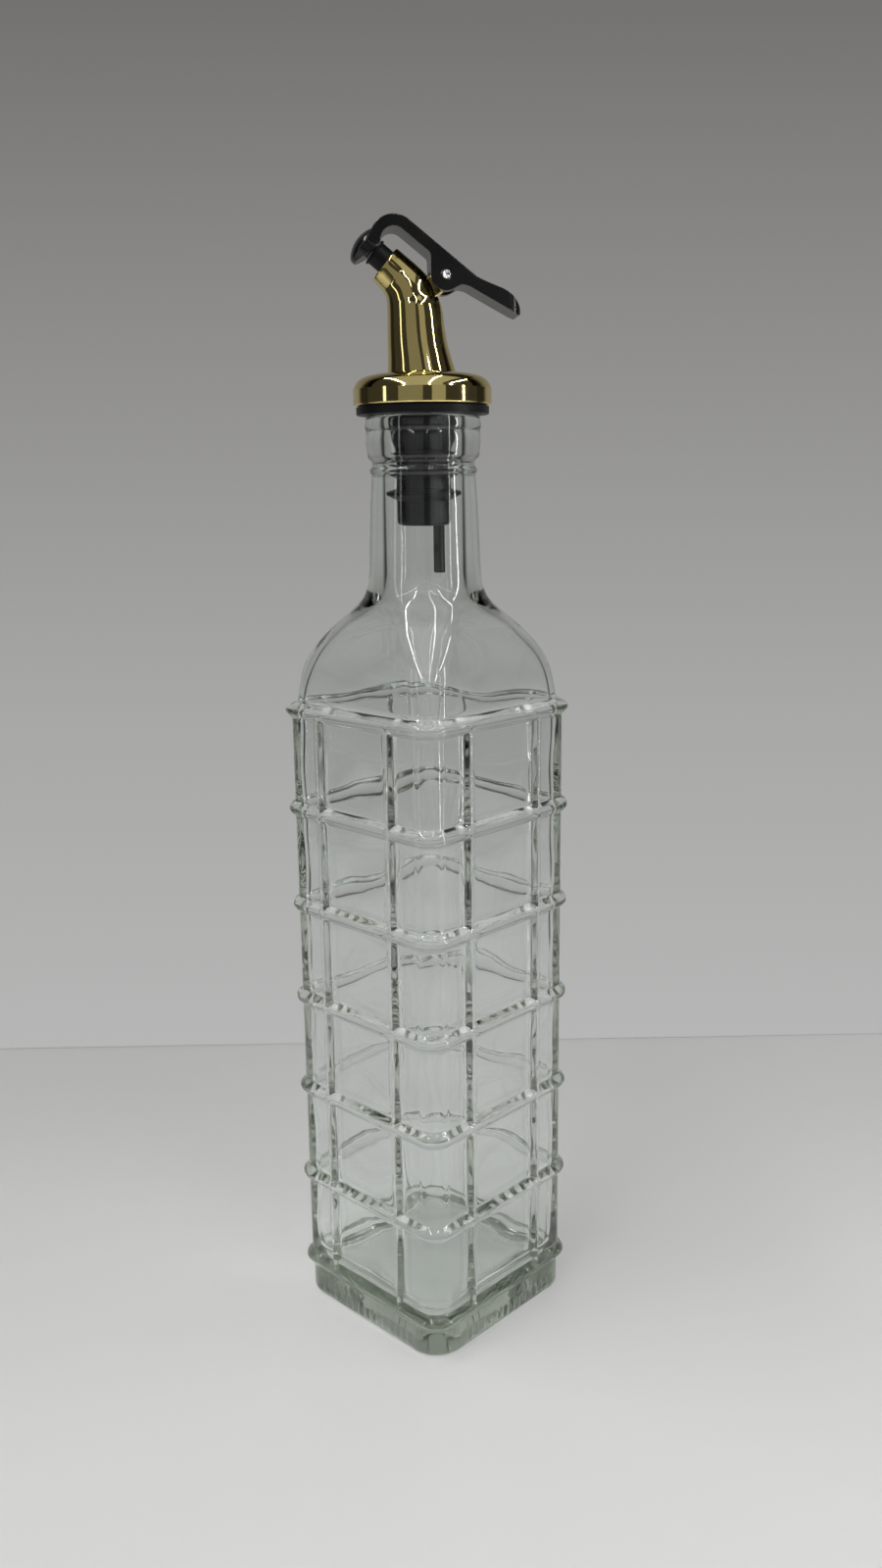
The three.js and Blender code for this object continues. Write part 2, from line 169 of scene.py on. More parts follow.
def outer_rows():
    """Height, side, corner and share of the raised grid, up the outside from base to mouth."""
    rows = []
    for turn in np.radians(np.arange(0, 91, 15)):
        inset = FOOT_EDGE * (1 - math.sin(turn))
        rows.append((FOOT_EDGE * (1 - math.cos(turn)), FOOT_SIDE - inset, FOOT_CORNER - inset, 0))
    foot_top = RING_FIRST - RING_HALF
    rows += [(z, FOOT_SIDE, FOOT_CORNER, 0) for z in np.linspace(FOOT_EDGE, foot_top, 10)[1:-1]]
    for share in np.linspace(0, 1, 8)[:-1]:
        body = share * share * (3 - 2 * share)
        rows.append(
            (
                foot_top + share * RING_HALF,
                FOOT_SIDE + body * (SIDE - FOOT_SIDE),
                FOOT_CORNER + body * (CORNER - FOOT_CORNER),
                body,
            )
        )

    # Rows close together over each ring, and a few on the panels between
    ring_top = [math.sin(t) * RING_HALF for t in np.radians(np.arange(0, 91, 15))]
    half_ring = [*ring_top, RING_HALF + 0.35, RING_HALF + 0.8, RING_HALF + 4]
    for k in range(RING_COUNT):
        middle = RING_FIRST + k * RING_PITCH
        if k > 0:
            rows.append((middle - RING_PITCH / 2, SIDE, CORNER, 1))
            rows += [(middle - way, SIDE, CORNER, 1) for way in half_ring[:0:-1]]
        if k < RING_COUNT - 1:
            rows += [(middle + way, SIDE, CORNER, 1) for way in half_ring]
    top = RING_FIRST + (RING_COUNT - 1) * RING_PITCH
    for way in ring_top:
        draw = (way / RING_HALF) ** 2
        rows.append((top + way, SIDE - TOP_DRAW * draw, CORNER + TOP_ROUNDING * draw, 1))

    # Shoulder, where the square draws in and rounds off to the neck
    shoulder = [
        (192, 27.9, 36.4), (197, 27.2, 35.2), (200.5, 26.3, 33.7), (203.6, 25.0, 31.5),
        (206, 23.6, 29.4), (208.1, 22.2, 27.2), (211, 19.9, 23.8), (213.7, 18.1, 20.7),
        (216.9, 16.6, 17.6),
    ]
    stations = [(top + RING_HALF, SIDE - TOP_DRAW, CORNER + TOP_ROUNDING, 0.9)]
    stations += [(z, side, corner_for(side, diagonal), 0) for z, side, diagonal in shoulder]
    rows += eased([*stations, (NECK_BASE, 16, 16, 0)], 3).tolist()[1:]

    # Neck with a small bead, lip band with the mould's parting line, rounded mouth
    neck = [
        (NECK_BASE, 16), (226.5, 15.6), (242.9, 14.9), (249.4, 14.45), (250.5, 14.45), (251, 14.75),
        (251.5, 14.9), (252, 14.75), (252.5, 14.35), (253.7, 14.2), (254.3, 14.5), (254.9, 15.2),
        (255.5, 15.5), (256.6, 15.57), (261.7, 15.77), (262, 15.62), (262.3, 15.8), (264.8, 15.9),
        (265.4, 15.75), (265.8, 15.3), (266, 14.7), (266, 11.7), (265.88, 11.2), (265.6, 10.9),
        (265, BORE),
    ]
    return rows + [(z, r, r, 0) for z, r in eased(neck, 2)[1:]]


def inner_rows():
    """The same for the inside, from the bore down to the floor."""
    bore = eased([(z, BORE, BORE) for z in (BORE_TOP, 250, 236, INSIDE_NECK)], 2)
    shoulder = eased(
        [(INSIDE_NECK, BORE, BORE), (218, 12.4, 12.4), (214, 14.6, 11), (210, 17.8, 8.5),
         (205.5, 20.9, 7.6), (200, 23.6, 6), (194, 25.2, 5), (INSIDE_SHOULDER, INSIDE, INSIDE_CORNER)], 3)
    floor = eased(
        [(INSIDE_FLOOR, INSIDE, INSIDE_CORNER), (13.5, INSIDE - 0.9, INSIDE_CORNER + 0.6),
         (10.2, INSIDE - 3, INSIDE_CORNER + 1.2), (8.5, INSIDE - 7, INSIDE_CORNER + 1.6)], 3)
    walls = [(z, INSIDE, INSIDE_CORNER) for z in np.linspace(INSIDE_SHOULDER, INSIDE_FLOOR, 44)[1:-1]]
    return [(*row, 0) for row in [*bore, *shoulder[1:], *walls, *floor]]


def glass_columns():
    """Angle of each column round the body, close together over the ribs and corners."""
    rib = RIB_AT + RIB_HALF * np.array([-1.5, -1.2, -1, -0.8, -0.45, 0, 0.45, 0.8, 1, 1.2, 1.5])
    flat = [*np.arange(COLUMN, RIB_AT - 1.8 * RIB_HALF, COLUMN), *rib]
    flat += [*np.arange(RIB_AT + 2.1 * RIB_HALF, SIDE - CORNER, COLUMN), SIDE - CORNER]
    half = [math.atan2(across, SIDE) for across in flat]
    half += list(half[-1] + (math.pi / 4 - half[-1]) * np.arange(1, 6) / 6)
    face = np.array([-a for a in half[::-1]] + [0.0] + half + [math.pi / 4])
    return np.concatenate([face + k * math.pi / 2 for k in range(4)])


def glass_shell():
    """Plain shell of the bottle: loops, outward directions, way across each face, grid share."""
    body = glass_columns()
    even = body[0] + 2 * math.pi * np.arange(len(body)) / len(body)
    loops, outward, across, share = [], [], [], []
    outside = outer_rows()
    for k, (z, side, corner, grid) in enumerate([*outside, *inner_rows()]):
        t = min(1, max(0, (z - SPREAD_FROM) / (NECK_BASE - SPREAD_FROM)))
        angle = body + (even - body) * t * t * (3 - 2 * t)
        turn = np.round(angle / (math.pi / 2)) * math.pi / 2
        off = angle - turn

        # The inner wall is slightly uneven, as blown glass is
        if k >= len(outside) and side > 0.8 * INSIDE:
            wave = 2 * math.pi * z / RIPPLE_LENGTH
            side = side + RIPPLE * (np.sin(wave + 2 * np.sin(3 * angle)) + np.sin(0.43 * wave + 5 * angle))
        inset = side - corner
        along = inset * (np.cos(off) + np.abs(np.sin(off)))
        round_way = along + np.sqrt(np.maximum(along**2 - 2 * inset**2 + corner**2, 0))
        on_flat = side * np.abs(np.tan(off)) <= inset
        way = np.where(on_flat, side / np.cos(off), round_way)
        depth, sideways = way * np.cos(off), way * np.sin(off)

        bend = np.where(on_flat, 0, np.arctan2(np.abs(sideways) - inset, depth - inset)) * np.sign(off)
        facing = turn + bend
        loops.append(np.stack([way * np.cos(angle), way * np.sin(angle), np.full_like(angle, z)], 1))
        outward.append(np.stack([np.cos(facing), np.sin(facing), np.zeros_like(angle)], 1))
        across.append(sideways)
        share.append(np.full_like(angle, grid))
    return loops, outward, across, share


def bead(name, way, half, proud, fall, root):
    """Steps for a bar of that half width that falls below the wall outside it; powers set its roundness."""
    return [
        (name + " share", "DIVIDE", way, half),
        (name + " power", "POWER", name + " share", fall),
        (name + " inside", "SUBTRACT", 1.0, name + " power"),
        (name + " swell", "MAXIMUM", name + " inside", 0.0),
        (name + " crown", "POWER", name + " swell", root),
        (name + " outside", "SUBTRACT", name + " share", 1.0),
        (name + " drop", "MAXIMUM", name + " outside", 0.0),
        (name + " limit", "MINIMUM", name + " drop", 2.0),
        (name + " form", "SUBTRACT", name + " crown", name + " limit"),
        (name, "MULTIPLY", proud, name + " form"),
    ]


def grid_steps():
    """Formula of the raised height, one step a line: name, operation and what it works on."""
    rings = [
        ("above", "SUBTRACT", "height", "Ring first"),
        ("ring place", "DIVIDE", "above", "Ring pitch"),
        ("ring nearest", "ROUND", "ring place"),
        ("ring from first", "MAXIMUM", "ring nearest", 0.0),
        ("ring", "MINIMUM", "ring from first", "Ring last"),
        ("ring middle", "MULTIPLY", "ring", "Ring pitch"),
        ("off ring", "SUBTRACT", "above", "ring middle"),
        ("from ring", "ABSOLUTE", "off ring"),
        *bead("rings", "from ring", "Ring half", "Ring proud", 1.8, 0.85),
    ]

    # Ribs run from the lowest ring to the highest and narrow to a point at the lowest
    ribs = [
        ("way across", "ABSOLUTE", "across"),
        ("off rib", "SUBTRACT", "way across", "Rib at"),
        ("from rib", "ABSOLUTE", "off rib"),
        ("up spear", "DIVIDE", "above", "Spear"),
        ("spear share", "ADD", "up spear", 0.2),
        ("spear low", "MAXIMUM", "spear share", 0.05),
        ("taper", "MINIMUM", "spear low", 1.0),
        ("rib half", "MULTIPLY", "Rib half", "taper"),
        *bead("rib", "from rib", "rib half", "Rib proud", 1.4, 1.0),
        ("span", "MULTIPLY", "Ring last", "Ring pitch"),
        ("below top", "LESS_THAN", "above", "span"),
        ("past top", "SUBTRACT", 1.0, "below top"),
        ("ribs", "SUBTRACT", "rib", "past top"),
        ("crossing", "SMOOTH_MAX", "rings", "ribs", "Fillet"),
        ("on wall", "SMOOTH_MAX", "crossing", 0.0, "Fillet"),
        ("grid", "MULTIPLY", "on wall", "share"),
    ]

    # Short upright ridges low on the foot, where the bottle stands on the belt after moulding
    ridges = [
        ("ridge place", "DIVIDE", "way across", "Ridge pitch"),
        ("ridge turn", "MULTIPLY", "ridge place", 2 * math.pi),
        ("wave", "COSINE", "ridge turn"),
        ("off ridge", "SUBTRACT", "height", "Ridge middle"),
        ("from ridge", "ABSOLUTE", "off ridge"),
        *bead("ridge", "from ridge", "Ridge half", "Ridge proud", 4.0, 1.0),
        ("ridge rise", "MAXIMUM", "ridge", 0.0),
        ("wave rise", "MAXIMUM", "wave", 0.0),
        ("ridge row", "MULTIPLY", "ridge rise", "wave rise"),
        ("ridges", "MULTIPLY", "ridge row", "foot"),
        ("raised", "ADD", "grid", "ridges"),
    ]
    return rings + ribs + ridges


def raised_grid_tree(sizes):
    """Geometry nodes that raise the rings, the ribs and the foot's ridges out of the plain shell."""
    tree = bpy.data.node_groups.new("raised grid", "GeometryNodeTree")
    tree.interface.new_socket("Geometry", in_out="OUTPUT", socket_type="NodeSocketGeometry")
    tree.interface.new_socket("Geometry", in_out="INPUT", socket_type="NodeSocketGeometry")
    for name in sizes:
        tree.interface.new_socket(name, in_out="INPUT", socket_type="NodeSocketFloat")
    tree.interface.new_socket("Glass", in_out="INPUT", socket_type="NodeSocketMaterial")
    given = add_node(tree, "NodeGroupInput").outputs
    place = add_node(tree, "GeometryNodeInputPosition").outputs[0]

    # Each step of the formula is one node, kept under its name for the steps after it
    known = {name: given[name] for name in sizes}
    known["height"] = add_node(tree, "ShaderNodeSeparateXYZ", {0: place}).outputs["Z"]
    for name in ("across", "share", "foot", "outward"):
        kind = "FLOAT_VECTOR" if name == "outward" else "FLOAT"
        layer = add_node(tree, "GeometryNodeInputNamedAttribute", {"Name": name}, data_type=kind)
        known[name] = layer.outputs[0]
    for name, operation, *terms in grid_steps():
        inputs = {k: known.get(term, term) for k, term in enumerate(terms)}
        known[name] = add_node(tree, "ShaderNodeMath", inputs, operation=operation).outputs[0]

    pushed = {0: known["outward"], "Scale": known["raised"]}
    offset = add_node(tree, "ShaderNodeVectorMath", pushed, operation="SCALE").outputs[0]
    moved = add_node(tree, "GeometryNodeSetPosition", {"Geometry": given["Geometry"], "Offset": offset})
    real = add_node(tree, "GeometryNodeRealizeInstances", {0: moved.outputs[0]})
    dressed = add_node(tree, "GeometryNodeSetMaterial", {0: real.outputs[0], "Material": given["Glass"]})
    add_node(tree, "NodeGroupOutput", {0: dressed.outputs[0]})
    return tree


# Clear flint glass: bright edges, a grey-green cast where it is thick, faint flow streaks
glass, tree, out = new_material("clear soda-lime glass")
coords = add_node(tree, "ShaderNodeTexCoord").outputs["Object"]
streaks = add_node(tree, "ShaderNodeMapping", {0: coords, "Scale": (90, 90, 14)}).outputs[0]
flow = add_node(tree, "ShaderNodeTexNoise", {"Vector": streaks, "Scale": 1.0, "Detail": 2.0}).outputs[0]
uneven = add_node(tree, "ShaderNodeBump", {"Height": flow, "Strength": 0.06, "Distance": 0.6 * MM})
clear = add_node(
    tree,
    "ShaderNodeBsdfPrincipled",
    {
        "Base Color": linear("#fdfffe"), "Roughness": 0.0, "IOR": 1.52, "Transmission Weight": 1.0,
        "Normal": uneven.outputs[0],
    },
)
cast = add_node(tree, "ShaderNodeVolumeAbsorption", {"Color": linear("#a9b8a0"), "Density": 17.0})
tree.links.new(clear.outputs[0], out.inputs["Surface"])
tree.links.new(cast.outputs[0], out.inputs["Volume"])

loops, outward, across, share = glass_shell()
points, faces = skin(loops)
bottle = new_piece("glass_bottle_look", points, faces, glass)

# The grid's formula reads these values at each point; the two end points have none
ends = 2
outside = np.repeat(np.arange(len(loops)) < len(outer_rows()), len(loops[0]))
on_flat = np.abs(np.concatenate(across)) < FOOT_SIDE - FOOT_CORNER
on_foot = outside & on_flat & (np.concatenate(loops)[:, 2] < RING_FIRST)
fields = {
    "across": np.concatenate(across) * MM, "share": np.concatenate(share), "foot": on_foot.astype(float),
}
for name, values in fields.items():
    layer = bottle.data.attributes.new(name, "FLOAT", "POINT")
    layer.data.foreach_set("value", np.append(values, [0.0] * ends))
layer = bottle.data.attributes.new("outward", "FLOAT_VECTOR", "POINT")
layer.data.foreach_set("vector", np.append(np.concatenate(outward).ravel(), [0.0] * 3 * ends))

grid_sizes = {
    "Ring first": RING_FIRST * MM, "Ring pitch": RING_PITCH * MM, "Ring last": RING_COUNT - 1,
    "Ring half": RING_HALF * MM, "Ring proud": RING_PROUD * MM, "Rib at": RIB_AT * MM,
    "Rib half": RIB_HALF * MM, "Rib proud": RIB_PROUD * MM, "Fillet": FILLET * MM, "Spear": SPEAR * MM,
    "Ridge pitch": RIDGE_PITCH * MM, "Ridge proud": RIDGE_PROUD * MM,
    "Ridge middle": RIDGE_MIDDLE * MM, "Ridge half": RIDGE_HALF * MM,
}
raise_tree = raised_grid_tree(grid_sizes)
grid = bottle.modifiers.new("raised grid", "NODES")
grid.node_group = raise_tree
for item in raise_tree.interface.items_tree:
    if item.in_out == "INPUT" and item.name in grid_sizes:
        grid[item.identifier] = grid_sizes[item.name]
    elif item.in_out == "INPUT" and item.name == "Glass":
        grid[item.identifier] = glass
settle(bottle)
for name in ("across", "share", "foot", "outward"):
    bottle.data.attributes.remove(bottle.data.attributes[name])
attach(bottle, "bottle")
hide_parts("glass_bottle")

# Stopper
# Soft black plastic plug with three sealing fins, a flange on the glass lip and an air tube.
# Moulded in one piece; it is pushed into the neck and holds by the fins.
TURN = math.radians(-40.3)
FLANGE_RADIUS = 18.2
FLANGE_LOW = 266.3
FLANGE_TOP = 268.4
PLUG_LOW = 236.6
PLUG_RADIUS = 7.5
FINS = [(245.2, 10.4, 1.7, 0.8), (251.9, 9.7, 2.8, 0.5), (256.0, 9.8, 0.7, 0.7)]
TUBE_AT = 4.1
TUBE_RADIUS = 1.6
TUBE_LOW = 223.8
ROUND = 96


def hoop(x, z, lean, radius, count=ROUND):
    """Loop about a leaning axis in the pourer's X, Z plane; it leans from upright towards -X."""
    angle = 2 * math.pi * np.arange(count) / count
    side, tilt = radius * np.cos(angle), math.radians(lean)
    return np.stack([x + side * math.cos(tilt), radius * np.sin(angle), z + side * math.sin(tilt)], 1)


def combine(piece, other, operation):
    """Join another piece to this one, or cut it away, as one closed skin."""
    step = piece.modifiers.new(operation.lower(), "BOOLEAN")
    step.operation, step.solver, step.object = operation, "MANIFOLD", other
    settle(piece)
    bpy.data.objects.remove(other)


def stand_on_bottle(piece, crease):
    """Turn a pourer piece with the pourer on the neck, and shade it smooth between its creases."""
    piece.data.transform(Matrix.Rotation(TURN, 4, "Z"))
    piece.data.polygons.foreach_set("use_smooth", [True] * len(piece.data.polygons))
    piece.data.set_sharp_from_angle(angle=math.radians(crease))
    flats = piece.modifiers.new("flats stay flat", "WEIGHTED_NORMAL")
    flats.keep_sharp = True
    settle(piece)


# Black polyethylene: satin, a little lighter where it is worn, with the fine grain of the mould
soft_black, tree, out = new_material("black polyethylene")
coords = add_node(tree, "ShaderNodeTexCoord").outputs["Object"]
grain = add_node(tree, "ShaderNodeTexNoise", {"Vector": coords, "Scale": 1 / (0.7 * MM), "Detail": 3.0})
shade = add_node(tree, "ShaderNodeTexNoise", {"Vector": coords, "Scale": 1 / (9 * MM), "Detail": 3.0})
tone = add_node(
    tree, "ShaderNodeMix",
    {"Factor": shade.outputs[0], "A": linear("#08080a"), "B": linear("#121315")}, data_type="RGBA")
rough = add_node(
    tree, "ShaderNodeMapRange", {"Value": grain.outputs[0], "To Min": 0.36, "To Max": 0.56})
dent = add_node(
    tree, "ShaderNodeBump", {"Height": grain.outputs[0], "Strength": 0.12, "Distance": 0.1 * MM})
satin = add_node(
    tree, "ShaderNodeBsdfPrincipled",
    {"Base Color": tone.outputs["Result"], "Roughness": rough.outputs[0], "IOR": 1.5,
     "Specular IOR Level": 0.25, "Normal": dent.outputs[0]})
tree.links.new(satin.outputs[0], out.inputs["Surface"])

profile = [
    (PLUG_RADIUS - 1.2, PLUG_LOW), (PLUG_RADIUS - 0.7, PLUG_LOW + 0.08),
    (PLUG_RADIUS - 0.35, PLUG_LOW + 0.3), (PLUG_RADIUS - 0.1, PLUG_LOW + 0.75),
    (PLUG_RADIUS, PLUG_LOW + 1.4),
]
for z, radius, below, above in FINS:
    profile += [
        (PLUG_RADIUS, z - below - 0.3), (radius - 0.12, z - 0.42), (radius, z - 0.25), (radius, z + 0.25),
        (radius - 0.12, z + 0.4), (PLUG_RADIUS + 0.1, z + above + 0.3),
    ]
profile += [
    (PLUG_RADIUS + 0.3, 258), (9.7, 261.4), (9.4, FLANGE_LOW), (FLANGE_RADIUS - 0.4, FLANGE_LOW),
    (FLANGE_RADIUS - 0.1, FLANGE_LOW + 0.12), (FLANGE_RADIUS, FLANGE_LOW + 0.4),
    (FLANGE_RADIUS, FLANGE_TOP),
]
stopper = new_piece("stopper_look", *skin([hoop(0, z, 0, r) for r, z in profile]), soft_black)
tube_rows = [(TUBE_RADIUS - 0.2, TUBE_LOW), (TUBE_RADIUS, TUBE_LOW + 0.2), (TUBE_RADIUS, PLUG_LOW + 2)]
tube = new_piece("air tube", *skin([hoop(TUBE_AT, z, 0, r, 40) for r, z in tube_rows]), soft_black)
combine(stopper, tube, "UNION")
stand_on_bottle(stopper, 38)
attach(stopper, "bottle")
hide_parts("stopper")

# Gold collar and spout
# Plated plastic moulding: a domed collar over the stopper's flange, a bent spout and the lever's lug.
# The plating is mirror bright, a pale olive gold.
COLLAR_RADIUS = 19.0
COLLAR_LOW = 268.7
COLLAR_BAND = 273.0
COLLAR_TOP = 277.1
SPOUT_LEAN = 50.3
SPOUT_END = (-9.6, 305.2)
SPOUT_END_RADIUS = 5.2
PIVOT = (6.35, 301.9)
LUG_SLOPE = 37
LUG_HALF = 2.9
LUG_WIDTH = 5.4
NOZZLE_RADIUS = 3.2
NOZZLE_SOCKET = 1.2
NOZZLE_RISE = 0.65
PIN_RADIUS = 1.2
PIN_GAP = 0.3


def on_spout(rise, along):
    """Point in the pourer's X, Z plane above the middle of the spout's end and along its axis."""
    c, s = math.cos(math.radians(SPOUT_LEAN)), math.sin(math.radians(SPOUT_LEAN))
    return SPOUT_END[0] + rise * c - along * s, SPOUT_END[1] + rise * s + along * c


def arc(middle, radius, start, end, steps=24):
    """Points along an arc, in degrees from +X towards +Z."""
    turn = np.radians(np.linspace(start, end, steps))
    return [(middle[0] + radius * math.cos(t), middle[1] + radius * math.sin(t)) for t in turn]


def plate(name, outline, width, material, edge=0):
    """Plate standing in the pourer's X, Z plane, centred on Y, with its edges rounded."""
    count = len(outline)
    points = [(x, y, z) for y in (-width / 2, width / 2) for x, z in outline]
    faces = [tuple(range(count)), tuple(range(2 * count - 1, count - 1, -1))]
    faces += [(j, j + count, (j + 1) % count + count, (j + 1) % count) for j in range(count)]
    piece = new_piece(name, points, faces, material)
    if edge:
        rounding = piece.modifiers.new("rounding", "BEVEL")
        rounding.width, rounding.segments = edge * MM, 6
        rounding.limit_method, rounding.angle_limit = "ANGLE", math.radians(40)
        settle(piece)
    return piece


def lug_outline(gap, slope, length):
    """Outline from inside the spout up to the round end on the pivot, grown by a gap."""
    half, turn = LUG_HALF + gap, math.radians(slope)
    dx, dz = math.cos(turn), math.sin(turn)
    foot = (PIVOT[0] - length * dx, PIVOT[1] - length * dz)
    ends = [(foot[0] - half * dz, foot[1] + half * dx), (foot[0] + half * dz, foot[1] - half * dx)]
    return ends + arc(PIVOT, half, slope - 90, slope + 90)


def pivot_bar(name, radius, width, dish, material):
    """Round bar along Y through the pivot, with dished ends."""
    half = width / 2
    rows = [
        (0.15, half - dish - 0.12), (radius - 0.75, half - dish), (radius - 0.5, half - 0.08),
        (radius - 0.3, half), (radius - 0.1, half - 0.1), (radius, half - 0.3),
    ]
    rows = [(r, -y) for r, y in rows] + rows[::-1]
    points, faces = skin([hoop(0, y, 0, r, 48) for r, y in rows])
    points = np.stack([points[:, 0] + PIVOT[0], points[:, 2], PIVOT[1] - points[:, 1]], 1)
    return new_piece(name, points, faces, material)


# Vacuum-plated gold: sharp reflections, slightly softened by the lacquer's unevenness
gold, tree, out = new_material("gold plated plastic")
coords = add_node(tree, "ShaderNodeTexCoord").outputs["Object"]
cloud = add_node(tree, "ShaderNodeTexNoise", {"Vector": coords, "Scale": 1 / (6 * MM), "Detail": 4.0})
tone = add_node(
    tree, "ShaderNodeMix",
    {"Factor": cloud.outputs[0], "A": linear("#d8c479"), "B": linear("#e3d294")}, data_type="RGBA")
rough = add_node(
    tree, "ShaderNodeMapRange", {"Value": cloud.outputs[0], "To Min": 0.03, "To Max": 0.09})
peel = add_node(tree, "ShaderNodeTexNoise", {"Vector": coords, "Scale": 1 / (2.5 * MM), "Detail": 1.0})
wavy = add_node(tree, "ShaderNodeBump", {"Height": peel.outputs[0], "Strength": 0.06, "Distance": 0.2 * MM})
bright = add_node(
    tree, "ShaderNodeBsdfPrincipled",
    {"Base Color": tone.outputs["Result"], "Metallic": 1.0, "Roughness": rough.outputs[0],
     "Normal": wavy.outputs[0]})
tree.links.new(bright.outputs[0], out.inputs["Surface"])

band = [
    (COLLAR_RADIUS - 0.5, COLLAR_LOW), (COLLAR_RADIUS - 0.15, COLLAR_LOW + 0.15),
    (COLLAR_RADIUS, COLLAR_LOW + 0.5),
]
dome = [
    (COLLAR_RADIUS, COLLAR_BAND), (COLLAR_RADIUS - 0.4, COLLAR_BAND + 1),
    (COLLAR_RADIUS - 1.1, COLLAR_BAND + 2.1), (COLLAR_RADIUS - 2.3, COLLAR_BAND + 3),
    (COLLAR_RADIUS - 4.6, COLLAR_BAND + 3.75), (COLLAR_RADIUS - 7.5, COLLAR_TOP - 0.05),
]
stations = [
    (-0.1, COLLAR_TOP + 0.3, 0, 9.35), (-0.55, 281, 0, 8.7), (-1.05, 284.5, 0, 8.2),
    (-1.4, 288.5, 0, 7.8), (-1.6, 292.4, 1, 7.55), (-2.55, 296.4, 12, 6.75), (-3.7, 299.3, 25, 6.2),
    (-5.55, 301.5, 38, 5.65), (-7.75, 303.55, SPOUT_LEAN - 1, SPOUT_END_RADIUS + 0.1),
    (*on_spout(0, -0.5), SPOUT_LEAN, SPOUT_END_RADIUS),
]
socket = NOZZLE_RADIUS + 0.3
spout_loops = [hoop(0, z, 0, r) for r, z in [*band, *eased(dome, 4)]]
spout_loops += [hoop(*station) for station in eased(stations, 4)]
spout_loops += [
    hoop(*on_spout(0, -0.25), SPOUT_LEAN, SPOUT_END_RADIUS - 0.06),
    hoop(*on_spout(0, -0.08), SPOUT_LEAN, SPOUT_END_RADIUS - 0.2),
    hoop(*on_spout(0, 0), SPOUT_LEAN, SPOUT_END_RADIUS - 0.5),
    hoop(*on_spout(NOZZLE_RISE, 0), SPOUT_LEAN, socket),
    hoop(*on_spout(NOZZLE_RISE, -NOZZLE_SOCKET), SPOUT_LEAN, socket),
]
spout = new_piece("spout_look", *skin(spout_loops), gold)
combine(spout, plate("lug", lug_outline(0, LUG_SLOPE, 10), LUG_WIDTH, gold, 0.7), "UNION")
combine(spout, pivot_bar("pin hole", PIN_RADIUS + PIN_GAP, 2 * LUG_WIDTH, 0, gold), "DIFFERENCE")
stand_on_bottle(spout, 16)
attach(spout, "bottle")
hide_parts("spout")

# Nozzle
# Short black plastic pipe with a rounded lip, pressed into the socket in the spout's end.
NOZZLE_BORE = 2.1
NOZZLE_LENGTH = 4.2
NOZZLE_LIP = 3.6
start, tip = 0.3 - NOZZLE_SOCKET, NOZZLE_LENGTH
profile = [
    (NOZZLE_RADIUS, start), (NOZZLE_RADIUS, tip - 0.9), (NOZZLE_RADIUS + 0.15, tip - 0.75),
    (NOZZLE_LIP, tip - 0.55), (NOZZLE_LIP, tip - 0.2), (NOZZLE_LIP - 0.1, tip - 0.06),
    (NOZZLE_LIP - 0.3, tip), (NOZZLE_BORE + 0.2, tip), (NOZZLE_BORE, tip - 0.2), (NOZZLE_BORE, start + 0.8),
]
nozzle_loops = [hoop(*on_spout(NOZZLE_RISE, along), SPOUT_LEAN, r, 64) for r, along in profile]
nozzle = new_piece("nozzle_look", *skin(nozzle_loops), soft_black)
stand_on_bottle(nozzle, 38)
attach(nozzle, "bottle")
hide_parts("nozzle")

# Lever
# Glossy black plastic flip lever: a hood over the nozzle, an arch, an arm and a thumb tail.
# Two cheeks straddle the gold lug, and the lever swings on the pin through them.
LEVER_WIDTH = 12.2
LEVER_EDGE = 0.5
TAIL_END = 26.6
TAIL_CORNER = 3.6
LEVER_OPENS = 35
ARCH = (-7.35, 310.3)
ARCH_OUTER = 6.5
ARCH_INNER = 3.5
ARM_SLOPE = 38.2
CHEEK_RADIUS = 4.1
SLOT_GAP = 0.4
HOOD_RADIUS = 5.4
HOOD_SET = -0.45


def bend(start, pull, end, steps=10):
    """Points along a curve drawn towards one pull point, without its start."""
    t = np.linspace(0, 1, steps)[1:, None]
    start, pull, end = np.array(start), np.array(pull), np.array(end)
    return [tuple(p) for p in (1 - t) ** 2 * start + 2 * t * (1 - t) * pull + t * t * end]


def lever_outline():
    """Side outline: over the arch, down the arm, round the tail, the cheeks and back to the hood."""
    dx, dz = math.cos(math.radians(ARM_SLOPE)), math.sin(math.radians(ARM_SLOPE))

    def along_arm(radius, way):
        return ARCH[0] + radius * dz + way * dx, ARCH[1] + radius * dx - way * dz

    cheek_side = PIVOT[0] - CHEEK_RADIUS
    line = arc(ARCH, ARCH_OUTER, 155, 90 - ARM_SLOPE) + [along_arm(ARCH_OUTER, 22.6)]
    tail = [((16, 300.5), (21.4, 298.5)), ((24.7, 297), (26.2, 293.8)), ((27, 292), (25.8, 291.7))]
    for pull, end in tail:
        line += bend(line[-1], pull, end)
    line += [(13.6, 298.3)]
    line += bend(line[-1], (12.2, 299.3), (10.3, 299.3))
    line += arc(PIVOT, CHEEK_RADIUS, -60, -180) + [(cheek_side, PIVOT[1] + 4.4)]
    line += bend(line[-1], (cheek_side, PIVOT[1] + 5.3), along_arm(ARCH_INNER, 8.8))
    line += arc(ARCH, ARCH_INNER, 90 - ARM_SLOPE, 184)
    return (line + [(-12.2, 308.9), (-14.6, 310.2)])[::-1]


def tail_block():
    """Block as wide as the lever, seen from above, with rounded corners at the thumb end."""
    half, corner = LEVER_WIDTH / 2 + 0.01, TAIL_END - TAIL_CORNER
    plan = [(-5 * half, -half)] + arc((corner, TAIL_CORNER - half), TAIL_CORNER, -90, 0, 12)
    plan += arc((corner, half - TAIL_CORNER), TAIL_CORNER, 0, 90, 12) + [(-5 * half, half)]
    return skin([np.array([(x, y, PIVOT[1] + z) for x, y in plan]) for z in (-30, 30)])


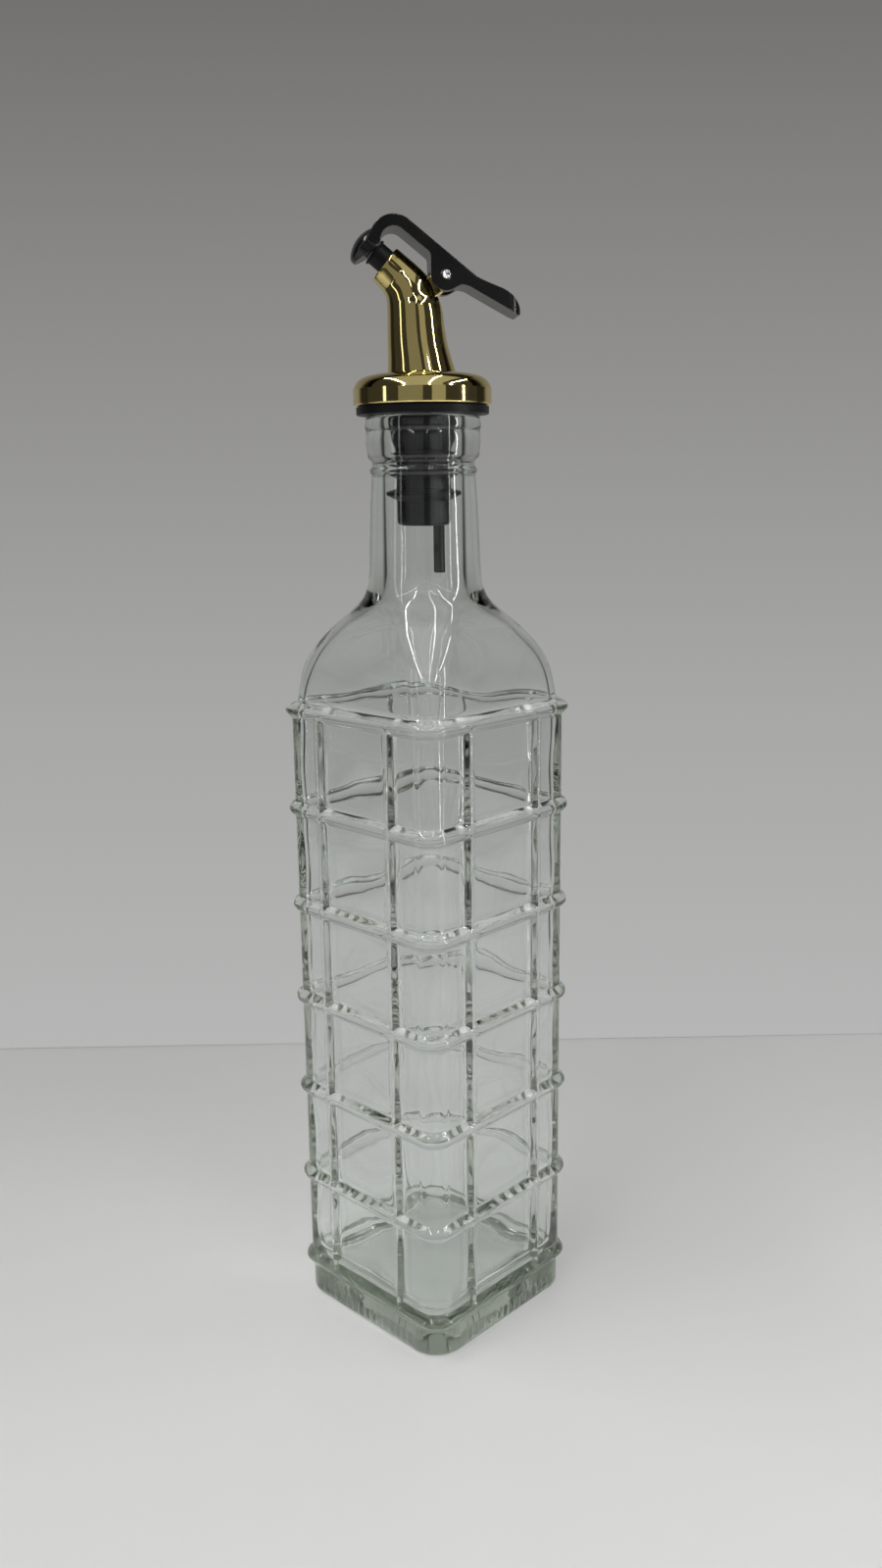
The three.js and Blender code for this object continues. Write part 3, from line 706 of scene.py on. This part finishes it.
def hood_loops(count=72):
    """Low dome over the nozzle whose rim runs slanting, so that it lifts clear."""
    stretch = LEVER_WIDTH / 2 / HOOD_RADIUS
    dome = eased(
        [(1, 2.9), (0.95, 3.45), (0.83, 4.0), (0.65, 4.55), (0.41, 5.0), (0.16, 5.25), (0.02, 5.3)], 3)
    angle = 2 * math.pi * np.arange(count) / count
    loops = []
    for part, height in [(1, None), *dome]:
        across = HOOD_SET + part * HOOD_RADIUS * np.cos(angle)
        rim = np.where(across < 1.8, -0.345 * across, np.minimum(1.1, -0.62 + 1.4 * (across - 1.8)))
        x, z = on_spout(NOZZLE_RISE + across, tip + (rim if height is None else height))
        loops.append(np.stack([x, part * stretch * HOOD_RADIUS * np.sin(angle), z], 1))
    return loops


# Glossy ABS: deep black with clear soft reflections and faint handling smears
gloss_black, tree, out = new_material("black gloss ABS")
coords = add_node(tree, "ShaderNodeTexCoord").outputs["Object"]
smear = add_node(tree, "ShaderNodeTexNoise", {"Vector": coords, "Scale": 1 / (8 * MM), "Detail": 1.0})
tone = add_node(
    tree, "ShaderNodeMix",
    {"Factor": smear.outputs[0], "A": linear("#08080a"), "B": linear("#101012")}, data_type="RGBA")
rough = add_node(
    tree, "ShaderNodeMapRange", {"Value": smear.outputs[0], "To Min": 0.18, "To Max": 0.3})
shiny = add_node(
    tree, "ShaderNodeBsdfPrincipled",
    {"Base Color": tone.outputs["Result"], "Roughness": rough.outputs[0], "IOR": 1.54})
tree.links.new(shiny.outputs[0], out.inputs["Surface"])

lever = plate("lever_look", lever_outline(), LEVER_WIDTH, gloss_black, LEVER_EDGE)
combine(lever, new_piece("tail block", *tail_block(), gloss_black), "INTERSECT")
combine(lever, new_piece("hood", *skin(hood_loops()), gloss_black), "UNION")
seal = [(2.4, tip + 0.35), (2.6, tip + 0.6), (2.6, tip + 3)]
seal_loops = [hoop(*on_spout(NOZZLE_RISE, along), SPOUT_LEAN, r, 48) for r, along in seal]
combine(lever, new_piece("seal", *skin(seal_loops), gloss_black), "UNION")
pocket = [(NOZZLE_LIP + 0.5, tip - 4), (NOZZLE_LIP + 0.5, tip + 0.35)]
pocket_loops = [hoop(*on_spout(NOZZLE_RISE, along), SPOUT_LEAN, r, 64) for r, along in pocket]
combine(lever, new_piece("pocket", *skin(pocket_loops), gloss_black), "DIFFERENCE")
for slope in np.linspace(LUG_SLOPE, LUG_SLOPE + LEVER_OPENS + 3, 3):
    slot = plate("slot", lug_outline(SLOT_GAP, slope, 14), LUG_WIDTH + 2 * SLOT_GAP, gloss_black)
    combine(lever, slot, "DIFFERENCE")
pin_hole = pivot_bar("pin hole", PIN_RADIUS + PIN_GAP, 2 * LEVER_WIDTH, 0, gloss_black)
combine(lever, pin_hole, "DIFFERENCE")
stand_on_bottle(lever, 32)
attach(lever, "lever")
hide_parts("lever")

# Pivot pin
# Bright steel pin with dished ends, pressed through the lug; the lever's cheeks turn on it.

# Drawn steel: a small bright disc, its shine broken by fine draw marks
steel, tree, out = new_material("bright drawn steel")
coords = add_node(tree, "ShaderNodeTexCoord").outputs["Object"]
drawn = add_node(tree, "ShaderNodeTexNoise", {"Vector": coords, "Scale": 1 / (0.5 * MM), "Detail": 3.0})
rough = add_node(
    tree, "ShaderNodeMapRange", {"Value": drawn.outputs[0], "To Min": 0.12, "To Max": 0.32})
metal = add_node(
    tree, "ShaderNodeBsdfPrincipled",
    {"Base Color": linear("#d0d1d2"), "Metallic": 1.0, "Roughness": rough.outputs[0]})
tree.links.new(metal.outputs[0], out.inputs["Surface"])
pin = pivot_bar("pivot_pin_look", PIN_RADIUS, LEVER_WIDTH + 0.3, 0.3, steel)
stand_on_bottle(pin, 38)
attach(pin, "bottle")
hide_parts("pivot_pin")

# Floor and backdrop
# Pale glossy board under the bottle and a glowing board behind it, lighter at the foot; painted shade makes
# both darker away from the bottle, the floor towards the back and the backdrop towards its top.
VIEW_TURN = math.radians(-45.284)
BACK_AT = 0.182
FLOOR_LOW = -0.0003


def board(name, corners, material):
    """Flat sheet from corners in the frame of the view, right, back and up."""
    mesh = bpy.data.meshes.new(name)
    mesh.from_pydata(corners, [], [(0, 1, 2, 3)])
    mesh.transform(Matrix.Rotation(VIEW_TURN, 4, "Z"))
    mesh.materials.append(material)
    sheet = bpy.data.objects.new(name, mesh)
    bpy.context.scene.collection.objects.link(sheet)


def toned(tree, name, way, stops):
    """Colour that runs through the stops along a way in metres."""
    low, high = stops[0][0], stops[-1][0]
    share = add_node(tree, "ShaderNodeMapRange", {"Value": way, "From Min": low, "From Max": high})
    ramp = add_node(tree, "ShaderNodeValToRGB", {0: share.outputs[0]}, name=name)
    spots = ramp.color_ramp.elements
    while len(spots) < len(stops):
        spots.new(0.5)
    for spot, (place, code) in zip(spots, stops):
        spot.position, spot.color = (place - low) / (high - low), linear(code)
    return ramp.outputs[0]


def painted_falloff(tree, colour, way, near, far):
    """Colour with painted shade that falls off to dark between two distances, so the glass has dark edges.
    """
    left = add_node(
        tree, "ShaderNodeMapRange",
        {"Value": way, "From Min": near, "From Max": far, "To Min": 1.0, "To Max": 0.1},
        interpolation_type="SMOOTHSTEP")
    return add_node(
        tree, "ShaderNodeVectorMath", {0: colour, "Scale": left.outputs[0]}, operation="SCALE").outputs[0]


# Painted board: pale, and glossy enough for a soft reflection of the bottle; its colour carries painted
# shade, darker towards the back and fading to dark away from the bottle
white, tree, out = new_material("white glossy board with painted shade")
coords = add_node(tree, "ShaderNodeTexCoord").outputs["Object"]
aligned = add_node(tree, "ShaderNodeMapping", {0: coords, "Rotation": (0, 0, -VIEW_TURN)}).outputs[0]
back = add_node(tree, "ShaderNodeSeparateXYZ", {0: aligned}).outputs["Y"]
# Painted shade: the board's colour grows darker towards the back
paint_and_shade = toned(tree, "floor tone and painted shade", back, [(-0.25, "#ededec"), (0.0, "#dadad9"), (BACK_AT, "#bebebd")])
from_bottle = add_node(tree, "ShaderNodeVectorMath", {0: coords}, operation="LENGTH").outputs["Value"]
# Painted shade: the colour fades to dark away from the bottle
paint_and_shade = painted_falloff(tree, paint_and_shade, from_bottle, 0.35, 0.8)
board_look = add_node(
    tree, "ShaderNodeBsdfPrincipled", {"Base Color": paint_and_shade, "Roughness": 0.22, "IOR": 1.45})
tree.links.new(board_look.outputs[0], out.inputs["Surface"])
board("floor", [(-1, -1, FLOOR_LOW), (1, -1, FLOOR_LOW), (1, 1, FLOOR_LOW), (-1, 1, FLOOR_LOW)], white)

# Grey board that gives its own light, so its tone stays the same whatever the lamps do; this glow is
# painted light, darker towards the top and fading to dark at the sides as painted shade
lit, tree, out = new_material("grey backdrop with painted glow and shade")
coords = add_node(tree, "ShaderNodeTexCoord").outputs["Object"]
aligned = add_node(tree, "ShaderNodeMapping", {0: coords, "Rotation": (0, 0, -VIEW_TURN)}).outputs[0]
spread = add_node(tree, "ShaderNodeSeparateXYZ", {0: aligned}).outputs
height, sideways = spread["Z"], add_node(tree, "ShaderNodeMath", {0: spread["X"]}, operation="ABSOLUTE")
# Painted shade: the glow grows darker towards the top, and below it fades to dark at the sides
tone = toned(
    tree, "backdrop tone and painted shade", height,
    [(0.0, "#b6b6b6"), (0.15, "#a8a8a6"), (0.42, "#767472"), (0.6, "#2a2a2a")])
tone = painted_falloff(tree, tone, sideways.outputs[0], 0.2, 0.36)
glow = add_node(tree, "ShaderNodeEmission", {"Color": tone, "Strength": 1.0})
through = add_node(tree, "ShaderNodeBsdfTransparent")
behind = add_node(tree, "ShaderNodeNewGeometry").outputs["Backfacing"]
shown = add_node(tree, "ShaderNodeMixShader", {0: behind, 1: glow.outputs[0], 2: through.outputs[0]})
tree.links.new(shown.outputs[0], out.inputs["Surface"])
board("backdrop", [(-1, BACK_AT, 0), (1, BACK_AT, 0), (1, BACK_AT, 0.9), (-1, BACK_AT, 0.9)], lit)

# Light
# A dark room with soft light from the ceiling and three tubes along it, which draw long streaks.
# Dim panels behind the camera light the gold, and a tall narrow one each side edges the glass.
world = bpy.data.worlds.new("dark room")
world.use_nodes = True
world.node_tree.nodes["Background"].inputs[0].default_value = linear("#3e3e3e")
bpy.context.scene.world = world


def lamp(name, place, aim, size, power, shadow=True):
    """Area lamp in the frame of the view, its second size along the view or upright."""
    data = bpy.data.lights.new(name, "AREA")
    data.shape, data.size, data.size_y, data.energy = "RECTANGLE", *size, power
    data.use_shadow = shadow
    light = bpy.data.objects.new(name, data)
    light.visible_camera = False
    facing = (Vector(aim) - Vector(place)).to_track_quat("-Z", "Y").to_matrix().to_4x4()
    light.matrix_world = Matrix.Rotation(VIEW_TURN, 4, "Z") @ Matrix.Translation(place) @ facing
    bpy.context.scene.collection.objects.link(light)


# The middle tube and the right window cast no shadow, for the light that glass lets through
for way_right, power, shadow in [(-0.75, 15.5, True), (0.3, 5.0, False), (1.2, 15.5, True)]:
    lamp("ceiling tube", (way_right, -0.9, 1.5), (way_right, -0.9, 0), (0.04, 2.6), power, shadow)
lamp("ceiling", (0, -0.6, 1.7), (0, -0.6, 0), (2.0, 2.0), 5.0)
lamp("far wall", (-0.35, -1.0, 0.5), (0, 0, 0.25), (0.8, 0.8), 0.4)
lamp("far wall right", (0.55, -1.1, 0.5), (0, 0, 0.25), (0.5, 0.8), 0.4)
lamp("right window", (0.55, -0.2, 0.3), (0, 0, 0.3), (0.025, 0.6), 1.1, False)
lamp("left window", (-0.6, -0.3, 0.25), (0, 0, 0.25), (0.06, 0.9), 0.35)

# Light passes many glass walls before it reaches the eye, so its path may be long
bpy.context.scene.cycles.max_bounces = 24
bpy.context.scene.cycles.glossy_bounces = 15
bpy.context.scene.cycles.transmission_bounces = 24

# Camera
# The photograph's view: an upright phone picture, a little above the bottle and close to it.
DISTANCE = 0.36997
HEIGHT = 0.24804
PITCH = math.radians(13.019)
YAW = math.radians(0.575)
ROLL = math.radians(-0.737)
LONG_SIDE = 36.0
LENS = 29.835
forward = Vector((math.sin(YAW) * math.cos(PITCH), math.cos(YAW) * math.cos(PITCH), -math.sin(PITCH)))
level = Vector((math.cos(YAW), -math.sin(YAW), 0))
upright = level.cross(forward)
right = math.cos(ROLL) * level + math.sin(ROLL) * upright
up = math.cos(ROLL) * upright - math.sin(ROLL) * level
axes = Matrix((right, up, -forward)).transposed().to_4x4()
view = bpy.data.cameras.new("view")
view.sensor_fit, view.sensor_width, view.lens = "AUTO", LONG_SIDE, LENS
view.clip_start, view.clip_end = 0.01, 20
camera = bpy.data.objects.new("view", view)
bpy.context.scene.collection.objects.link(camera)
place = Matrix.Translation((0, -DISTANCE, HEIGHT)) @ axes
camera.matrix_world = Matrix.Rotation(VIEW_TURN, 4, "Z") @ place
bpy.context.scene.camera = camera
bpy.context.scene.view_settings.view_transform = "Standard"
